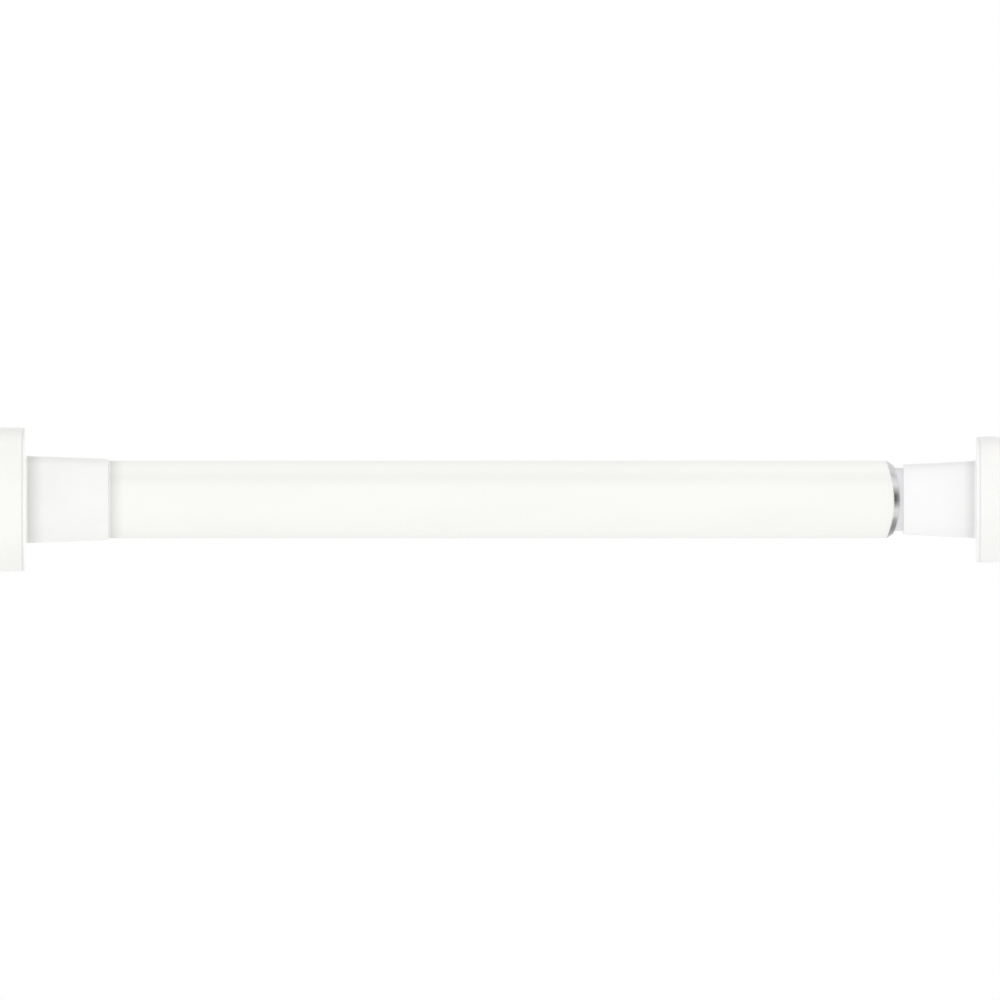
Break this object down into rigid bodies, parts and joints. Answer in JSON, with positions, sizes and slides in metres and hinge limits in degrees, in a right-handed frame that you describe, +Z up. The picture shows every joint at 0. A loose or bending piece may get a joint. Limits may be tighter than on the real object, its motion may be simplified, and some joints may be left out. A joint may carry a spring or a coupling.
{
  "type": "spring tension rod",
  "caption": "Telescopic spring tension rod with white tubes and round padded feet that press between two walls to carry a curtain.",
  "frame": {"origin": "middle of the left pad's wall face, on the rod's axis", "axes": "+X along the rod to the right foot, +Z up, the picture looks along +Y"},
  "size_m": [0.3, 0.041, 0.041],
  "materials": {
    "white_shell": "white moulded plastic, fine satin gloss",
    "white_base": "white moulded plastic, fine satin gloss",
    "pad_rubber": "soft off-white rubber, matt",
    "tube_coating": "white coating over steel tube, bare steel at the drawn-in mouth",
    "thin_tube_coating": "white coating over steel tube",
    "bare_steel": "zinc-plated steel",
    "spring_steel": "drawn spring wire",
    "inner_plastic": "grey moulded plastic"
  },
  "bodies": {
    "left_end": {"left_shell": "white_shell", "left_base": "white_base", "left_pad": "pad_rubber", "left_screw": "bare_steel", "spring_anchor": "inner_plastic", "spring": "spring_steel"},
    "thick_tube": {"outer_tube": "tube_coating", "spring_cup": "inner_plastic", "mouth_bush": "inner_plastic"},
    "expander_sleeve": {"expander": "inner_plastic"},
    "wedge": {"cone_nut": "inner_plastic"},
    "thin_tube": {"inner_tube": "thin_tube_coating", "lock_plug": "inner_plastic", "lock_stud": "bare_steel", "stud_clip": "spring_steel", "stud_stop": "bare_steel", "right_end_plug": "inner_plastic", "right_shell": "white_shell", "right_base": "white_base", "right_pad": "pad_rubber", "right_screw": "bare_steel"}
  },
  "joints": [
    {"name": "spring_press", "type": "slide", "parent": "left_end", "child": "thick_tube", "axis": [-1, 0, 0], "range_m": [0, 0.01], "stiffness_N_per_m": 7900, "deforming": ["spring"]},
    {"name": "length_slide", "type": "slide", "parent": "thick_tube", "child": "expander_sleeve", "axis": [1, 0, 0], "range_m": [0, 0.2]},
    {"name": "lock_twist", "type": "hinge", "parent": "expander_sleeve", "child": "thin_tube", "pos_m": [0.0472, 0, 0], "axis": [-1, 0, 0], "range_deg": [0, 360]},
    {"name": "cone_draw", "type": "slide", "parent": "expander_sleeve", "child": "wedge", "axis": [1, 0, 0], "range_m": [0, 0.0015]}
  ],
  "couplings": [
    {"joint": "cone_draw", "follows": "lock_twist", "m_per_rad": 0.00023873}
  ]
}
